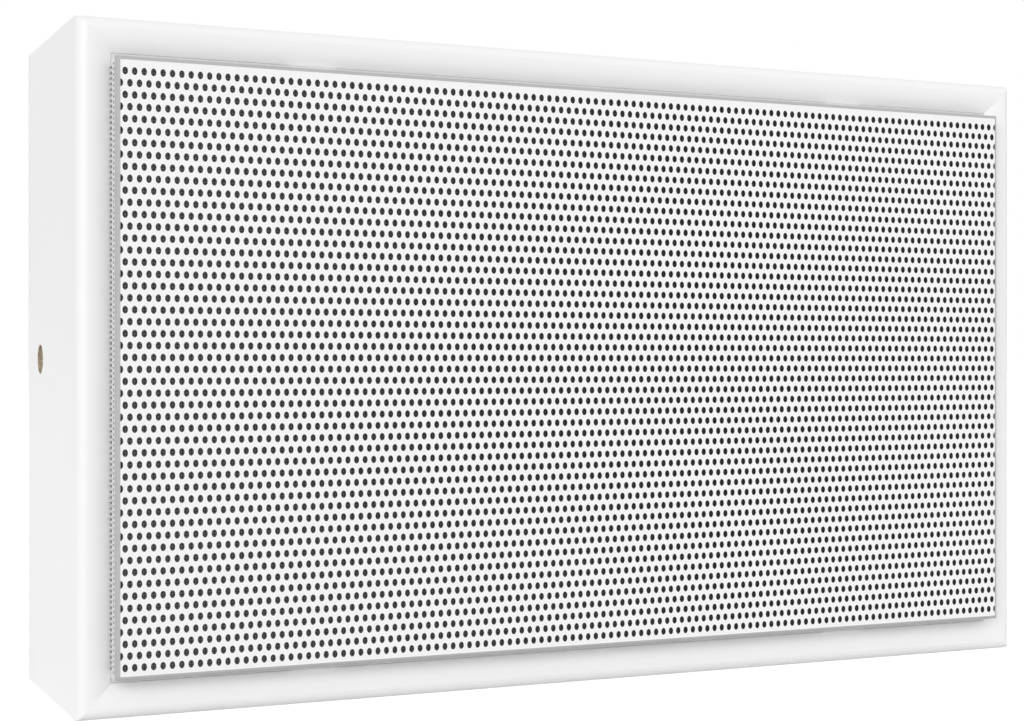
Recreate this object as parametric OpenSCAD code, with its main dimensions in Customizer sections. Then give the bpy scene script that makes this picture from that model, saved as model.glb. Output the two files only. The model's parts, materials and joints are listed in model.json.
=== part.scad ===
// Wall speaker: a mitred wooden cabinet with a folded, perforated metal grille, a full-range
// driver on a baffle, a line transformer and a back panel with two keyhole plates.
// Every piece is drawn lying on the cabinet's back, with z as the height above the wall,
// and is then stood up, so that the wall plane is y = 0, the front faces -Y and Z is up.

/* [Cabinet] */
// Width of the cabinet
cabinet_w = 313; // [285:1:380]
// Height of the cabinet
cabinet_h = 190; // [184:1:260]
// Depth of the cabinet, from the wall to the crest of its front frame
cabinet_d = 75; // [73:1:110]
// Thickness of the four walls
wall_t = 9.5; // [9:0.5:11]
// Radius of the front frame's outer edge
edge_r = 3; // [1:0.5:4]
// Radius of the roll from the crest down to the grille
roll_r = 11; // [9:0.5:20]
// Diameter of the cable hole in the left wall
cable_hole_d = 8.5; // [5:0.5:10]
// Distance of the cable hole from the wall plane
cable_hole_z = 20; // [17:0.5:30]
// Height of the cable hole above the cabinet's middle
cable_hole_y = 2.5; // [-10:0.5:10]

/* [Baffle and back] */
// Thickness of the baffle
baffle_t = 9; // [8:0.5:11]
// Depth of the baffle's face below the crest of the frame
baffle_drop = 10; // [8:0.5:11]
// Depth of the groove that holds the baffle
groove_deep = 3; // [2:0.5:4]
// Thickness of the back panel
back_t = 8; // [7:0.5:9]
// Width of the rebate that takes the back panel
rebate_w = 4.5; // [3:0.5:5.5]
// Clearance all round the back panel and the baffle
panel_gap = 0.2; // [0.1:0.05:0.4]
// Side of the square corner blocks
block_w = 16; // [13:0.5:18]
// Length of the battens at the middle of the top and bottom walls
batten_l = 56; // [30:1:60]
// Thickness of the battens, away from their wall
batten_t = 11; // [10:0.5:13]
// Height of the battens above the back panel
batten_h = 16; // [14:0.5:22]

/* [Back screws] */
// Shank diameter of the back panel's screws
back_screw_d = 3; // [2.5:0.1:4]
// Head diameter of the back panel's screws
back_screw_head_d = 6; // [5:0.1:7]
// Length of the back panel's screws
back_screw_l = 20; // [16:1:22]

/* [Keyhole plates] */
// Distance of each keyhole from the cabinet's side
keyhole_inset = 56.5; // [46:0.5:66]
// Distance of the plates' middle below the cabinet's top
keyhole_drop = 45; // [41:1:50]
// Width of a keyhole plate
plate_w = 20; // [16:0.5:24]
// Length of a keyhole plate
plate_l = 44; // [42:1:50]
// Thickness of a keyhole plate
plate_t = 1.5; // [1:0.1:2]
// Diameter of the hole that a wall screw's head enters
entry_d = 9.5; // [8:0.1:10.5]
// Width of the slot that the wall screw's shank hangs in
slot_w = 5; // [4.5:0.1:6]
// Distance that the cabinet drops onto the wall screws
slot_drop = 11; // [8:0.5:12]
// Room behind the plate for the wall screw's head
head_room = 4.5; // [4:0.1:5]

/* [Grille] */
// Thickness of the grille's sheet
grille_t = 0.8; // [0.7:0.1:1]
// Distance that the grille stands proud of the frame's crest
grille_proud = 4.9; // [3:0.1:8]
// Outer radius of the grille's folds
fold_r = 0.8; // [0.8:0.1:1.5]
// Gap between the grille and the left and right walls
grille_gap_x = 0.3; // [0.3:0.1:1.5]
// Gap between the grille and the top and bottom walls
grille_gap_y = 1.9; // [1.3:0.1:3]
// Gap between the grille's flange and the baffle
grille_lift = 1; // [0.8:0.1:1.5]
// Distance between the columns of perforations
hole_pitch_x = 12.6; // [10:0.1:24]
// Distance between the rows of perforations
hole_pitch_y = 14.9; // [12:0.1:28]
// Width of a perforation
hole_w = 6.9; // [4:0.1:8]
// Height of a perforation
hole_h = 9.2; // [5:0.1:10]
// Least plain border round the perforations
hole_border = 1.2; // [0.5:0.1:4]
// Thickness of the cloth behind the grille
cloth_t = 0.5; // [0.3:0.1:1]
// Gap between the cloth's edge and the grille's flanges
cloth_gap = 0.4; // [0.2:0.1:1]
// Length of a spring clip along the grille's edge
clip_l = 14; // [8:1:20]
// Distance of the spring clips from the grille's ends
clip_inset = 57; // [30:1:80]
// Length of a spring clip's outer leg, away from the baffle
clip_h = 9; // [7:0.5:11]
// Length of a spring clip's inner leg
clip_hook_h = 6; // [4:0.5:8]
// Thickness of a spring clip
clip_t = 0.4; // [0.3:0.05:0.5]

/* [Driver] */
// Diameter of the driver's flange
driver_d = 134; // [128:1:140]
// Width of the driver's flange
flange_w = 10; // [9:0.5:11.5]
// Depth of the driver behind the baffle's face
driver_depth = 45; // [43:0.5:48]
// Thickness of the basket's sheet steel
basket_t = 1; // [0.8:0.1:1.4]
// Width of each of the basket's four arms
arm_w = 16; // [12:0.5:22]
// Radial width of the basket's ledge for the spider
ledge_w = 4; // [3.5:0.5:5]
// Height of the basket's ledge above its floor
ledge_h = 6; // [5:0.5:7]
// Gap between the basket and the baffle's cut-out
cutout_gap = 0.5; // [0.3:0.1:1]
// Diameter of the magnet
magnet_d = 70; // [64:1:76]
// Diameter of the hole through the magnet
magnet_hole_d = 32; // [28:1:36]
// Thickness of the magnet
magnet_t = 12; // [10:0.5:14]
// Thickness of the plate in front of the magnet
front_plate_t = 4; // [3:0.5:5]
// Thickness of the plate behind the magnet
rear_plate_t = 5; // [4:0.5:6]
// Distance that the magnet stands out past its two plates
plate_inset = 3; // [1:0.5:5]
// Diameter of the vent through the pole
vent_d = 6; // [3:0.5:9]
// Inner diameter of the voice coil
coil_d = 20; // [18:0.5:24]
// Thickness of the voice coil's former
former_t = 0.3; // [0.2:0.05:0.5]
// Thickness of the voice coil's winding
coil_t = 0.5; // [0.3:0.05:0.8]
// Height of the voice coil's winding
coil_h = 7; // [5:0.5:8]
// Air gap on each side of the voice coil
air_gap = 0.4; // [0.3:0.05:0.6]
// Thickness of the cone's paper
cone_t = 0.8; // [0.5:0.1:1.2]
// Radial width of the surround's roll
surround_w = 10; // [8:0.5:12]
// Thickness of the surround
surround_t = 0.6; // [0.4:0.1:1]
// Radial width of the seams that the surround is glued at
seam_w = 2.5; // [2:0.1:2.8]
// Thickness of the gasket ring on the flange
gasket_t = 2; // [1:0.1:3]
// Diameter of the dust cap
cap_d = 28; // [26:0.5:34]
// Rise of the dust cap
cap_rise = 5; // [3:0.5:7]
// Thickness of the dust cap
cap_t = 0.6; // [0.4:0.1:1]
// Thickness of the spider's cloth
spider_t = 0.5; // [0.3:0.1:0.7]
// Height of the spider's ripples
ripple_h = 1.2; // [0.6:0.1:1.6]
// Length of the driver's screws under their heads
driver_screw_l = 9; // [6:0.5:9]
// Shank diameter of the driver's screws
driver_screw_d = 3; // [2.5:0.1:3.5]
// Head diameter of the driver's screws
driver_screw_head_d = 5.6; // [4.5:0.1:6]
// Thickness of the driver's terminal strip
strip_t = 1.6; // [1:0.1:2]
// Gap between the terminal strip's end and the basket's wall at its ledge
strip_gap = 8; // [7:0.5:10]
// Length of the strip's solder tags
tag_l = 9; // [8:0.5:11]
// Width of the strip's solder tags
tag_w = 3; // [2:0.5:4]
// Diameter of the tags' rivets
rivet_d = 1.6; // [1.2:0.1:2]

/* [Transformer] */
// Distance of the transformer's middle from the right wall
core_inset = 42.5; // [35:0.5:50]
// Distance of the transformer below the cabinet's middle
core_drop = 14; // [10:0.5:20]
// Width of the laminated core
core_w = 42; // [38:1:46]
// Height of the laminated core
core_h = 33; // [30:1:34]
// Thickness of the laminated core
core_t = 15; // [12:0.5:18]
// Width of the core's outer limbs, half the middle one
limb_w = 7; // [6:0.5:8]
// Wall thickness of the bobbin
bobbin_t = 1; // [0.7:0.1:1.4]
// Distance that the bobbin's flanges stand out past the core
bobbin_out = 6.5; // [5:0.5:8]
// Sheet thickness of the transformer's bracket
bracket_t = 1; // [0.8:0.1:1.5]
// Length of the bracket's feet
foot_l = 9; // [8:0.5:11]

/* [Terminal block] */
// Distance of the terminal block's middle from the left wall
terminal_inset = 41.5; // [36:0.5:50]
// Number of poles
poles = 3; // [2:1:4]
// Distance between the poles
pole_pitch = 10; // [9:0.5:12]
// Length of the terminal block along its wires
terminal_l = 18; // [16:0.5:22]
// Height of the terminal block's base
terminal_base_h = 9; // [8.5:0.5:11]
// Height of the block's screw towers above its base
tower_h = 5; // [3:0.5:7]
// Outer diameter of the brass barrels
barrel_d = 5; // [4.5:0.1:5.5]
// Diameter of the wire hole in a barrel
barrel_hole_d = 3.2; // [2.6:0.1:3.6]
// Height of the barrels' middle above the back panel
barrel_lift = 5.5; // [5:0.1:6]
// Diameter of the clamping screws
clamp_screw_d = 2.6; // [2:0.1:3]
// Length of the clamping screws
clamp_screw_l = 5; // [4:0.5:6]

/* [Wiring and damping] */
// Diameter of the two-core leads
lead_d = 3; // [2:0.1:3.6]
// Diameter of the braided leads to the cone
braid_d = 1.2; // [0.8:0.1:1.6]
// Gap between the damping fleeces and what they lie beside
fleece_gap = 1.5; // [1:0.5:4]

/* [Small fits] */
// Gap round pieces that are pushed into each other
slip = 0.1; // [0.05:0.01:0.15]
// Diameter of the small screws on the back panel's inside
small_screw_d = 2.8; // [2:0.1:3.2]
// Length of the small screws under their heads
small_screw_l = 6; // [4:0.5:6.5]
// Height of a pan head, as a share of its diameter
pan_share = 0.38; // [0.3:0.01:0.5]

/* [Hidden] */

$fn = 64;

inner_w = cabinet_w - 2 * wall_t;
inner_h = cabinet_h - 2 * wall_t;
baffle_z = cabinet_d - baffle_drop;
baffle_rear = baffle_z - baffle_t;
cut = 1; // how far a cutting shape runs past the face that it cuts

grille_w = inner_w - 2 * grille_gap_x;
grille_h = inner_h - 2 * grille_gap_y;
grille_z = cabinet_d + grille_proud;
foot_z = baffle_z + grille_lift;

body_r = driver_d / 2 - flange_w;
mouth_r = body_r - basket_t;
flange_z = baffle_z + basket_t;
screw_ring_r = driver_d / 2 - flange_w / 2;
pole_z = baffle_z - driver_depth;
magnet_z = pole_z + rear_plate_t;
front_plate_z = magnet_z + magnet_t;
floor_z = front_plate_z + front_plate_t;
iron_r = magnet_d / 2 - plate_inset;
gap_r = coil_d / 2 + former_t + coil_t + air_gap;
cup_r = iron_r - 1;
ledge_z = floor_z + ledge_h;
ledge_r = cup_r + ledge_w;
spider_z = ledge_z + basket_t;
neck_r = coil_d / 2 + former_t;
neck_z = spider_z + spider_t + ripple_h + 0.5;
cone_r = mouth_r - surround_w;
cone_slope = (flange_z - cone_t - neck_z) / (cone_r - seam_w - neck_r);
window_in = 3;
window_out = 5;
strip_x = ledge_r + 2;
strip_l = body_r - strip_gap - strip_x;
tag_hold = 3; // distance of a tag's rivet from the strip's edges
tag_x = strip_x + strip_l - tag_hold;
tag_y = arm_w / 2 + tag_hold;
strip_w = 2 * (tag_y + tag_hold);
tag_t = 0.6;
rivet_z = ledge_z + tag_t;
wall_slope = (flange_z - ledge_z - basket_t) / (mouth_r - ledge_r);

core_x = inner_w / 2 - core_inset;
transformer_top = back_t + core_h + bracket_t;
window_w = (core_w - 4 * limb_w) / 2;
window_h = core_h - 2 * limb_w;
bobbin_gap = 0.3;
bobbin_w = 2 * limb_w + 2 * window_w - 2 * bobbin_gap;
bobbin_d = core_t + 2 * bobbin_out;
winding_inset = 0.6;
bracket_x = core_w / 2 + bracket_t;
bracket_screw_inset = 4; // distance of a foot's screw from its end
bracket_screw_y = bracket_x + foot_l - bracket_screw_inset;

terminal_x = inner_w / 2 - terminal_inset;
terminal_w = poles * pole_pitch;
barrel_z = back_t + barrel_lift;
barrel_l = terminal_l - 2;
terminal_top = back_t + terminal_base_h + tower_h;
clamp_x = barrel_l / 4;

keyhole_x = cabinet_w / 2 - keyhole_inset;
keyhole_y = cabinet_h / 2 - keyhole_drop;
plate_screw_d = 2.8;
plate_screw_head_d = 5.4;
plate_screw_l = back_t - 1;
plate_screw_inset = 5;
plate_corner_r = 3;

block_hold = 7; // distance of a block's screw from the two walls beside it
corner_x = inner_w / 2 - block_hold;
corner_y = inner_h / 2 - block_hold;
batten_y = inner_h / 2 - batten_t / 2;
screw_places = [
  [-corner_x, corner_y], [0, batten_y], [corner_x, corner_y],
  [-corner_x, -corner_y], [0, -batten_y], [corner_x, -corner_y]
];

fleece_z = transformer_top + fleece_gap;
fleece_x = driver_d / 2 + fleece_gap;
fleece_w = inner_w / 2 - fleece_gap - fleece_x;
fleece_h = inner_h - 2 * (block_w + fleece_gap);

// Stands the lying cabinet up against the wall
module stand() {
  rotate([90, 0, 0]) children();
}

module mirrored(axis) {
  children();
  mirror(axis) children();
}

// A block centred on x and y, standing on z = 0
module slab(w, h, t) {
  translate([-w / 2, -h / 2, 0]) cube([w, h, t]);
}

module ring(outer_r, inner_r, t) {
  difference() {
    cylinder(r = outer_r, h = t);
    translate([0, 0, -cut]) cylinder(r = inner_r, h = t + 2 * cut);
  }
}

module rounded(w, h, r) {
  square([w - 2 * r, h], center = true);
  square([w, h - 2 * r], center = true);
  for (x = [-1, 1], y = [-1, 1])
    translate([x * (w / 2 - r), y * (h / 2 - r)]) circle(r = r);
}

// A flat-headed screw with its head's face at z = 0 and its point towards +z
module flat_screw(d, head_d, l) {
  head_h = (head_d - d) / 2;
  rotate_extrude() polygon([[0, 0], [head_d / 2, 0], [d / 2, head_h], [d / 2, l - d], [0, l]]);
}

// The countersunk hole for a flat-headed screw, through a sheet of thickness t
module flat_screw_hole(d, head_d, t, gap) {
  head_h = (head_d - d) / 2;
  rotate_extrude() polygon([
    [0, -cut], [head_d / 2 + gap, -cut], [head_d / 2 + gap, 0], [d / 2 + gap, head_h],
    [d / 2 + gap, t + cut], [0, t + cut]
  ]);
}

// A pan-headed screw whose head stands on z = 0 and whose point is towards -z
module pan_screw(d, head_d, l) {
  head_h = head_d * pan_share;
  dome_r = head_h / 2;
  rotate_extrude() union() {
    polygon([[0, head_h], [head_d / 2 - dome_r, head_h], [head_d / 2 - dome_r, 0], [0, 0]]);
    intersection() {
      translate([head_d / 2 - dome_r, head_h - dome_r]) circle(r = dome_r);
      square([head_d, head_h]);
    }
    square([head_d / 2, head_h - dome_r]);
    polygon([[0, 0], [d / 2, 0], [d / 2, d - l], [0, -l]]);
  }
}

// The section of a wall: x runs in from its outer face, y away from the wall plane
module wall_section() {
  difference() {
    union() {
      square([wall_t, cabinet_d - roll_r]);
      square([edge_r, cabinet_d - edge_r]);
      translate([edge_r, cabinet_d - edge_r]) circle(r = edge_r);
      intersection() {
        translate([edge_r, cabinet_d - roll_r]) circle(r = roll_r);
        translate([edge_r, cabinet_d - 2 * roll_r]) square([wall_t - edge_r, 2 * roll_r]);
      }
    }
    translate([wall_t - rebate_w, -cut]) square([rebate_w + cut, back_t + cut]);
    translate([wall_t - groove_deep, baffle_rear - panel_gap / 2])
      square([groove_deep + cut, baffle_t + panel_gap]);
  }
}

// One mitred wall along x, with its outer face at y = 0
module mitred_wall(length) {
  intersection() {
    translate([-length / 2, 0, 0])
      rotate([90, 0, 90]) linear_extrude(length) wall_section();
    linear_extrude(cabinet_d) polygon([
      [-length / 2, 0], [length / 2, 0],
      [length / 2 - wall_t, wall_t], [wall_t - length / 2, wall_t]
    ]);
  }
}

module placed_wall(turn, reach, length) {
  color("white") rotate([0, 0, turn]) translate([0, -reach / 2, 0]) mitred_wall(length);
}

module bottom_wall() {
  stand() placed_wall(0, cabinet_h, cabinet_w);
}

module top_wall() {
  stand() placed_wall(180, cabinet_h, cabinet_w);
}

module right_wall() {
  stand() placed_wall(90, cabinet_w, cabinet_h);
}

module left_wall() {
  stand() color("white") difference() {
    placed_wall(270, cabinet_w, cabinet_h);
    translate([-cabinet_w / 2 - cut, cable_hole_y, cable_hole_z])
      rotate([0, 90, 0]) cylinder(d = cable_hole_d, h = wall_t + 2 * cut);
  }
}

module driver_screw_places() {
  for (a = [45 : 90 : 315]) rotate([0, 0, a]) translate([screw_ring_r, 0, 0]) children();
}

module baffle() {
  w = inner_w + 2 * (groove_deep - panel_gap);
  h = inner_h + 2 * (groove_deep - panel_gap);
  stand() color("white") translate([0, 0, baffle_rear]) difference() {
    slab(w, h, baffle_t);
    translate([0, 0, -cut]) cylinder(r = body_r + cutout_gap, h = baffle_t + 2 * cut);
    driver_screw_places() translate([0, 0, -cut])
      cylinder(d = driver_screw_d + 2 * slip, h = baffle_t + 2 * cut);
  }
}

// The outline of a keyhole, with its entry hole below and its slot above
module keyhole(entry, slot) {
  translate([0, -slot_drop / 2]) circle(d = entry);
  translate([0, slot_drop / 2]) circle(d = slot);
  square([slot, slot_drop], center = true);
}

module plate_places() {
  for (x = [-1, 1]) translate([x * keyhole_x, keyhole_y, 0]) children();
}

// The two screws of a keyhole plate, at its top and bottom
module plate_screw_places() {
  for (y = [-1, 1]) translate([0, y * (plate_l / 2 - plate_screw_inset), 0]) children();
}

module keyhole_plate() {
  color("silver") difference() {
    linear_extrude(plate_t) difference() {
      rounded(plate_w - 2 * slip, plate_l - 2 * slip, plate_corner_r);
      keyhole(entry_d, slot_w);
    }
    plate_screw_places() flat_screw_hole(plate_screw_d, plate_screw_head_d, plate_t, slip);
  }
}

module keyhole_plate_left() {
  stand() translate([-keyhole_x, keyhole_y, 0]) keyhole_plate();
}

module keyhole_plate_right() {
  stand() translate([keyhole_x, keyhole_y, 0]) keyhole_plate();
}

module keyhole_screws() {
  stand() color("silver") plate_places() plate_screw_places()
    flat_screw(plate_screw_d, plate_screw_head_d, plate_screw_l);
}

module small_screw_hole() {
  translate([0, 0, back_t - small_screw_l])
    cylinder(d = small_screw_d + 2 * slip, h = small_screw_l + cut);
}

module back_panel() {
  w = cabinet_w - 2 * (wall_t - rebate_w + panel_gap);
  h = cabinet_h - 2 * (wall_t - rebate_w + panel_gap);
  stand() color("burlywood") difference() {
    slab(w, h, back_t);
    for (p = screw_places) translate([p.x, p.y, 0])
      flat_screw_hole(back_screw_d, back_screw_head_d, back_t, slip);
    plate_places() {
      translate([0, 0, -cut]) linear_extrude(plate_t + cut)
        rounded(plate_w, plate_l, plate_corner_r);
      translate([0, 0, -cut]) linear_extrude(plate_t + head_room + cut)
        keyhole(entry_d + 2, entry_d + 2);
      plate_screw_places() translate([0, 0, -cut])
        cylinder(d = plate_screw_d + 2 * slip, h = plate_screw_l + cut);
    }
    bracket_screw_places() small_screw_hole();
    block_screw_places() small_screw_hole();
  }
}

// A block that a back panel's screw bites into
module screwed_block(w, h, t, x, y) {
  color("burlywood") difference() {
    slab(w, h, t);
    translate([x, y, -cut])
      cylinder(d = back_screw_d + 2 * slip, h = back_screw_l - back_t + 2 * cut);
  }
}

module corner_block(x, y) {
  offset = block_w / 2 - block_hold;
  stand() translate([x * (inner_w - block_w) / 2, y * (inner_h - block_w) / 2, back_t])
    screwed_block(block_w, block_w, baffle_rear - back_t, x * offset, y * offset);
}

module corner_block_1() {
  corner_block(-1, 1);
}

module corner_block_2() {
  corner_block(1, 1);
}

module corner_block_3() {
  corner_block(-1, -1);
}

module corner_block_4() {
  corner_block(1, -1);
}

module batten_top() {
  stand() translate([0, batten_y, back_t]) screwed_block(batten_l, batten_t, batten_h, 0, 0);
}

module batten_bottom() {
  stand() translate([0, -batten_y, back_t]) screwed_block(batten_l, batten_t, batten_h, 0, 0);
}

module back_screws() {
  stand() color("silver") for (p = screw_places) translate([p.x, p.y, 0])
    flat_screw(back_screw_d, back_screw_head_d, back_screw_l);
}

// One perforation: an upright oval with eight straight sides
function oval(w, h) = [
  for (i = [0 : 7]) let (a = (i + 0.5) * 45) [w / 2 * cos(a), h / 2 * sin(a)] / cos(22.5)
];

field_w = grille_w - 2 * (fold_r + hole_border) - hole_w;
field_h = grille_h - 2 * (fold_r + hole_border) - hole_h;
columns = floor(field_w / hole_pitch_x);
rows = floor(field_h / hole_pitch_y);

// Rows of perforations, each set half a pitch aside from the next
module perforations() {
  for (r = [0 : rows])
    for (c = [0 : columns - r % 2])
      translate([(c - (columns - r % 2) / 2) * hole_pitch_x, (r - rows / 2) * hole_pitch_y])
        polygon(oval(hole_w, hole_h));
}

// The section across the folded sheet's outside
module folded_section(w) {
  union() {
    translate([0, (grille_z - foot_z - fold_r) / 2])
      square([w, grille_z - foot_z - fold_r], center = true);
    translate([0, grille_z - foot_z - fold_r]) square([w - 2 * fold_r, 2 * fold_r], center = true);
    for (x = [-1, 1]) translate([x * (w / 2 - fold_r), grille_z - foot_z - fold_r])
      circle(r = fold_r);
  }
}

module grille() {
  flat_w = grille_w - 2 * fold_r;
  flat_h = grille_h - 2 * fold_r;
  stand() color("white") translate([0, 0, foot_z]) union() {
    difference() {
      intersection() {
        translate([0, grille_h / 2, 0])
          rotate([90, 0, 0]) linear_extrude(grille_h) folded_section(grille_w);
        translate([-grille_w / 2, 0, 0])
          rotate([90, 0, 90]) linear_extrude(grille_w) folded_section(grille_h);
      }
      translate([0, 0, -cut])
        slab(grille_w - 2 * grille_t, grille_h - 2 * grille_t, grille_z - foot_z - grille_t + cut);
      slab(flat_w, flat_h, grille_z - foot_z + cut);
    }
    translate([0, 0, grille_z - foot_z - grille_t]) linear_extrude(grille_t) difference() {
      square([flat_w, flat_h], center = true);
      perforations();
    }
  }
}

module grille_cloth() {
  edge = grille_t + cloth_gap;
  stand() color("black") translate([0, 0, grille_z - grille_t - cloth_t])
    slab(grille_w - 2 * edge, grille_h - 2 * edge, cloth_t);
}

// The section of a spring clip that hooks round the top flange and bears on the wall;
// x runs up from the flange's inner face and y away from the baffle
module clip_section() {
  play = slip / 2;
  leg = play + clip_t;
  bow = grille_t + grille_gap_y - play;
  bow_z = clip_h * 0.45;
  near = grille_t + play;
  polygon([
    [-leg, -leg], [near + clip_t, -leg], [bow, bow_z], [near + clip_t, clip_h], [near, clip_h],
    [bow - clip_t, bow_z], [near, -play], [-play, -play], [-play, clip_hook_h], [-leg, clip_hook_h]
  ]);
}

module grille_clips() {
  stand() color("gray") mirrored([0, 1, 0]) for (x = [-1, 1])
    translate([x * (grille_w / 2 - clip_inset) - clip_l / 2, grille_h / 2 - grille_t, foot_z])
      rotate([90, 0, 90]) linear_extrude(clip_l) clip_section();
}

// The four windows of the basket, with an arm between each two of them
module basket_windows() {
  linear_extrude(flange_z - ledge_z + cut) difference() {
    circle(r = body_r - window_out);
    circle(r = ledge_r + window_in);
    square([driver_d, arm_w], center = true);
    square([arm_w, driver_d], center = true);
  }
}

module basket() {
  stand() color("dimgray") difference() {
    union() {
      difference() {
        rotate_extrude($fn = 96) polygon([
          [driver_d / 2, baffle_z], [driver_d / 2, flange_z], [mouth_r, flange_z],
          [ledge_r, ledge_z + basket_t], [cup_r - basket_t, ledge_z + basket_t],
          [cup_r - basket_t, floor_z + basket_t], [gap_r + 1, floor_z + basket_t],
          [gap_r + 1, floor_z], [cup_r, floor_z], [cup_r, ledge_z],
          [ledge_r + basket_t / 2, ledge_z], [body_r, baffle_z]
        ]);
        translate([0, 0, ledge_z - cut / 2]) basket_windows();
      }
      translate([cup_r - basket_t / 2, -arm_w / 2, ledge_z])
        cube([strip_x + strip_l - cup_r, arm_w, basket_t]);
    }
    driver_screw_places() translate([0, 0, baffle_z - cut])
      cylinder(d = driver_screw_d + 2 * slip, h = basket_t + 2 * cut);
  }
}

module driver_gasket() {
  stand() color("dimgray") translate([0, 0, flange_z + surround_t])
    ring(mouth_r + seam_w, mouth_r + slip, gasket_t);
}

module surround() {
  roll = surround_w / 2;
  stand() color("dimgray") translate([0, 0, flange_z]) rotate_extrude($fn = 96) {
    translate([cone_r - seam_w, 0]) square([seam_w + surround_t, surround_t]);
    translate([mouth_r - surround_t, 0]) square([seam_w + surround_t, surround_t]);
    intersection() {
      translate([cone_r + roll, 0]) difference() {
        circle(r = roll);
        circle(r = roll - surround_t);
      }
      translate([cone_r, 0]) square([surround_w, surround_w]);
    }
  }
}

module cone() {
  stand() color("darkslategray") rotate_extrude($fn = 96) polygon([
    [neck_r, neck_z], [cone_r - seam_w, flange_z - cone_t], [cone_r, flange_z - cone_t],
    [cone_r, flange_z], [cone_r - seam_w, flange_z], [neck_r, neck_z + cone_t]
  ]);
}

module dust_cap() {
  half = cap_d / 2;
  ball_r = (half * half + cap_rise * cap_rise) / (2 * cap_rise);
  rim_z = neck_z + cone_t + (half - neck_r) * cone_slope;
  stand() color("darkslategray") translate([0, 0, rim_z]) rotate_extrude() intersection() {
    translate([0, cap_rise - ball_r]) difference() {
      circle(r = ball_r, $fn = 128);
      circle(r = ball_r - cap_t, $fn = 128);
    }
    square([cap_d, cap_d]);
  }
}

module voice_coil() {
  coil_z = front_plate_z + (front_plate_t - coil_h) / 2;
  stand() color("peru") union() {
    translate([0, 0, coil_z])
      ring(coil_d / 2 + former_t, coil_d / 2, neck_z + cone_t - coil_z);
    translate([0, 0, coil_z]) ring(coil_d / 2 + former_t + coil_t, coil_d / 2, coil_h);
  }
}

// A rippled disc between the coil's former and the basket's ledge
module spider() {
  outer = ledge_r - 0.5;
  flat = 2.5;
  ripples = 12;
  step = (outer - flat - neck_r - 1) / ripples;
  function height(i) = i == 0 || i == ripples ? 0 : ripple_h * (i % 2);
  line = concat(
    [[neck_r, 0]], [for (i = [0 : ripples]) [neck_r + 1 + i * step, height(i)]], [[outer, 0]]
  );
  back = [for (i = [len(line) - 1 : -1 : 0]) line[i] + [0, spider_t]];
  stand() color("goldenrod") translate([0, 0, spider_z])
    rotate_extrude() polygon(concat(line, back));
}

module front_plate() {
  stand() color("silver") translate([0, 0, front_plate_z]) ring(iron_r, gap_r, front_plate_t);
}

module magnet() {
  stand() color("#333333") translate([0, 0, magnet_z])
    ring(magnet_d / 2, magnet_hole_d / 2, magnet_t);
}

module pole_plate() {
  pole_r = coil_d / 2 - air_gap;
  stand() color("silver") translate([0, 0, pole_z]) difference() {
    union() {
      cylinder(r = iron_r, h = rear_plate_t);
      cylinder(r = pole_r, h = floor_z - pole_z);
    }
    translate([0, 0, -cut]) cylinder(d = vent_d, h = floor_z - pole_z + 2 * cut);
  }
}

module driver_screws() {
  stand() color("silver") driver_screw_places() translate([0, 0, flange_z])
    pan_screw(driver_screw_d, driver_screw_head_d, driver_screw_l);
}

module tag_places() {
  for (y = [-1, 1]) translate([tag_x, y * tag_y, ledge_z]) children();
}

module terminal_strip() {
  stand() color("saddlebrown") difference() {
    translate([strip_x + strip_l / 2, 0, ledge_z - strip_t]) slab(strip_l, strip_w, strip_t);
    tag_places() translate([0, 0, -strip_t - cut])
      cylinder(d = rivet_d + 2 * slip, h = strip_t + 2 * cut);
  }
}

// A solder tag under the strip, riveted through it
module strip_tags() {
  stand() color("gold") tag_places() union() {
    translate([tag_l / 2 - tag_hold + tag_t, 0, -strip_t - tag_t]) slab(tag_l, tag_w, tag_t);
    translate([0, 0, -strip_t - tag_t / 2]) cylinder(d = rivet_d, h = strip_t + 1.5 * tag_t);
    cylinder(d = rivet_d + 1, h = tag_t);
  }
}

function unit(v) = v / norm(v);

// A smooth line through points, with steps between each two of them
function smooth(p, steps) = [
  for (i = [0 : len(p) - 2], s = [0 : steps - 1])
    let (a = p[max(i - 1, 0)], b = p[i], c = p[i + 1], d = p[min(i + 2, len(p) - 1)], t = s / steps)
      0.5 * (2 * b + (c - a) * t + (2 * a - 5 * b + 4 * c - d) * t * t
        + (3 * b - a - 3 * c + d) * t * t * t),
  p[len(p) - 1]
];

// A round tube along a line that never runs straight along the given side direction
module tube(line, d, sides, side) {
  n = len(line);
  points = [
    for (i = [0 : n - 1])
      let (t = unit(line[min(i + 1, n - 1)] - line[max(i - 1, 0)]),
        u = unit(cross(side, t)), v = cross(t, u))
        for (k = [0 : sides - 1]) line[i] + d / 2 * (u * cos(k * 360 / sides) + v * sin(k * 360 / sides))
  ];
  walls = [
    for (i = [0 : n - 2], k = [0 : sides - 1])
      let (a = i * sides + k, b = i * sides + (k + 1) % sides) [a, a + sides, b + sides, b]
  ];
  first = [for (k = [0 : sides - 1]) k];
  last = [for (k = [sides - 1 : -1 : 0]) (n - 1) * sides + k];
  polyhedron(points, concat([first, last], walls));
}

// Two thin leads from the strip's rivets through the basket's windows to the cone's back
module braids() {
  start = [tag_x, tag_y, rivet_z + braid_d / 2 + slip];
  inside_z = ledge_z + basket_t + (norm([tag_x, tag_y]) - ledge_r) * wall_slope + braid_d;
  end_r = (cone_r + neck_r) / 2 + braid_d;
  end_y = arm_w / 2;
  end_x = sqrt(end_r * end_r - end_y * end_y);
  end = [end_x, end_y, neck_z + (end_r - neck_r - braid_d) * cone_slope - braid_d / 2];
  through = [tag_x, tag_y, inside_z];
  route = smooth([start, through, (through + end) / 2 + [0, 0, braid_d], end], 4);
  stand() color("peru") mirrored([0, 1, 0]) tube(route, braid_d, 6, [0, 1, 0]);
}

module transformer_place() {
  translate([core_x, -core_drop, back_t]) children();
}

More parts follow.
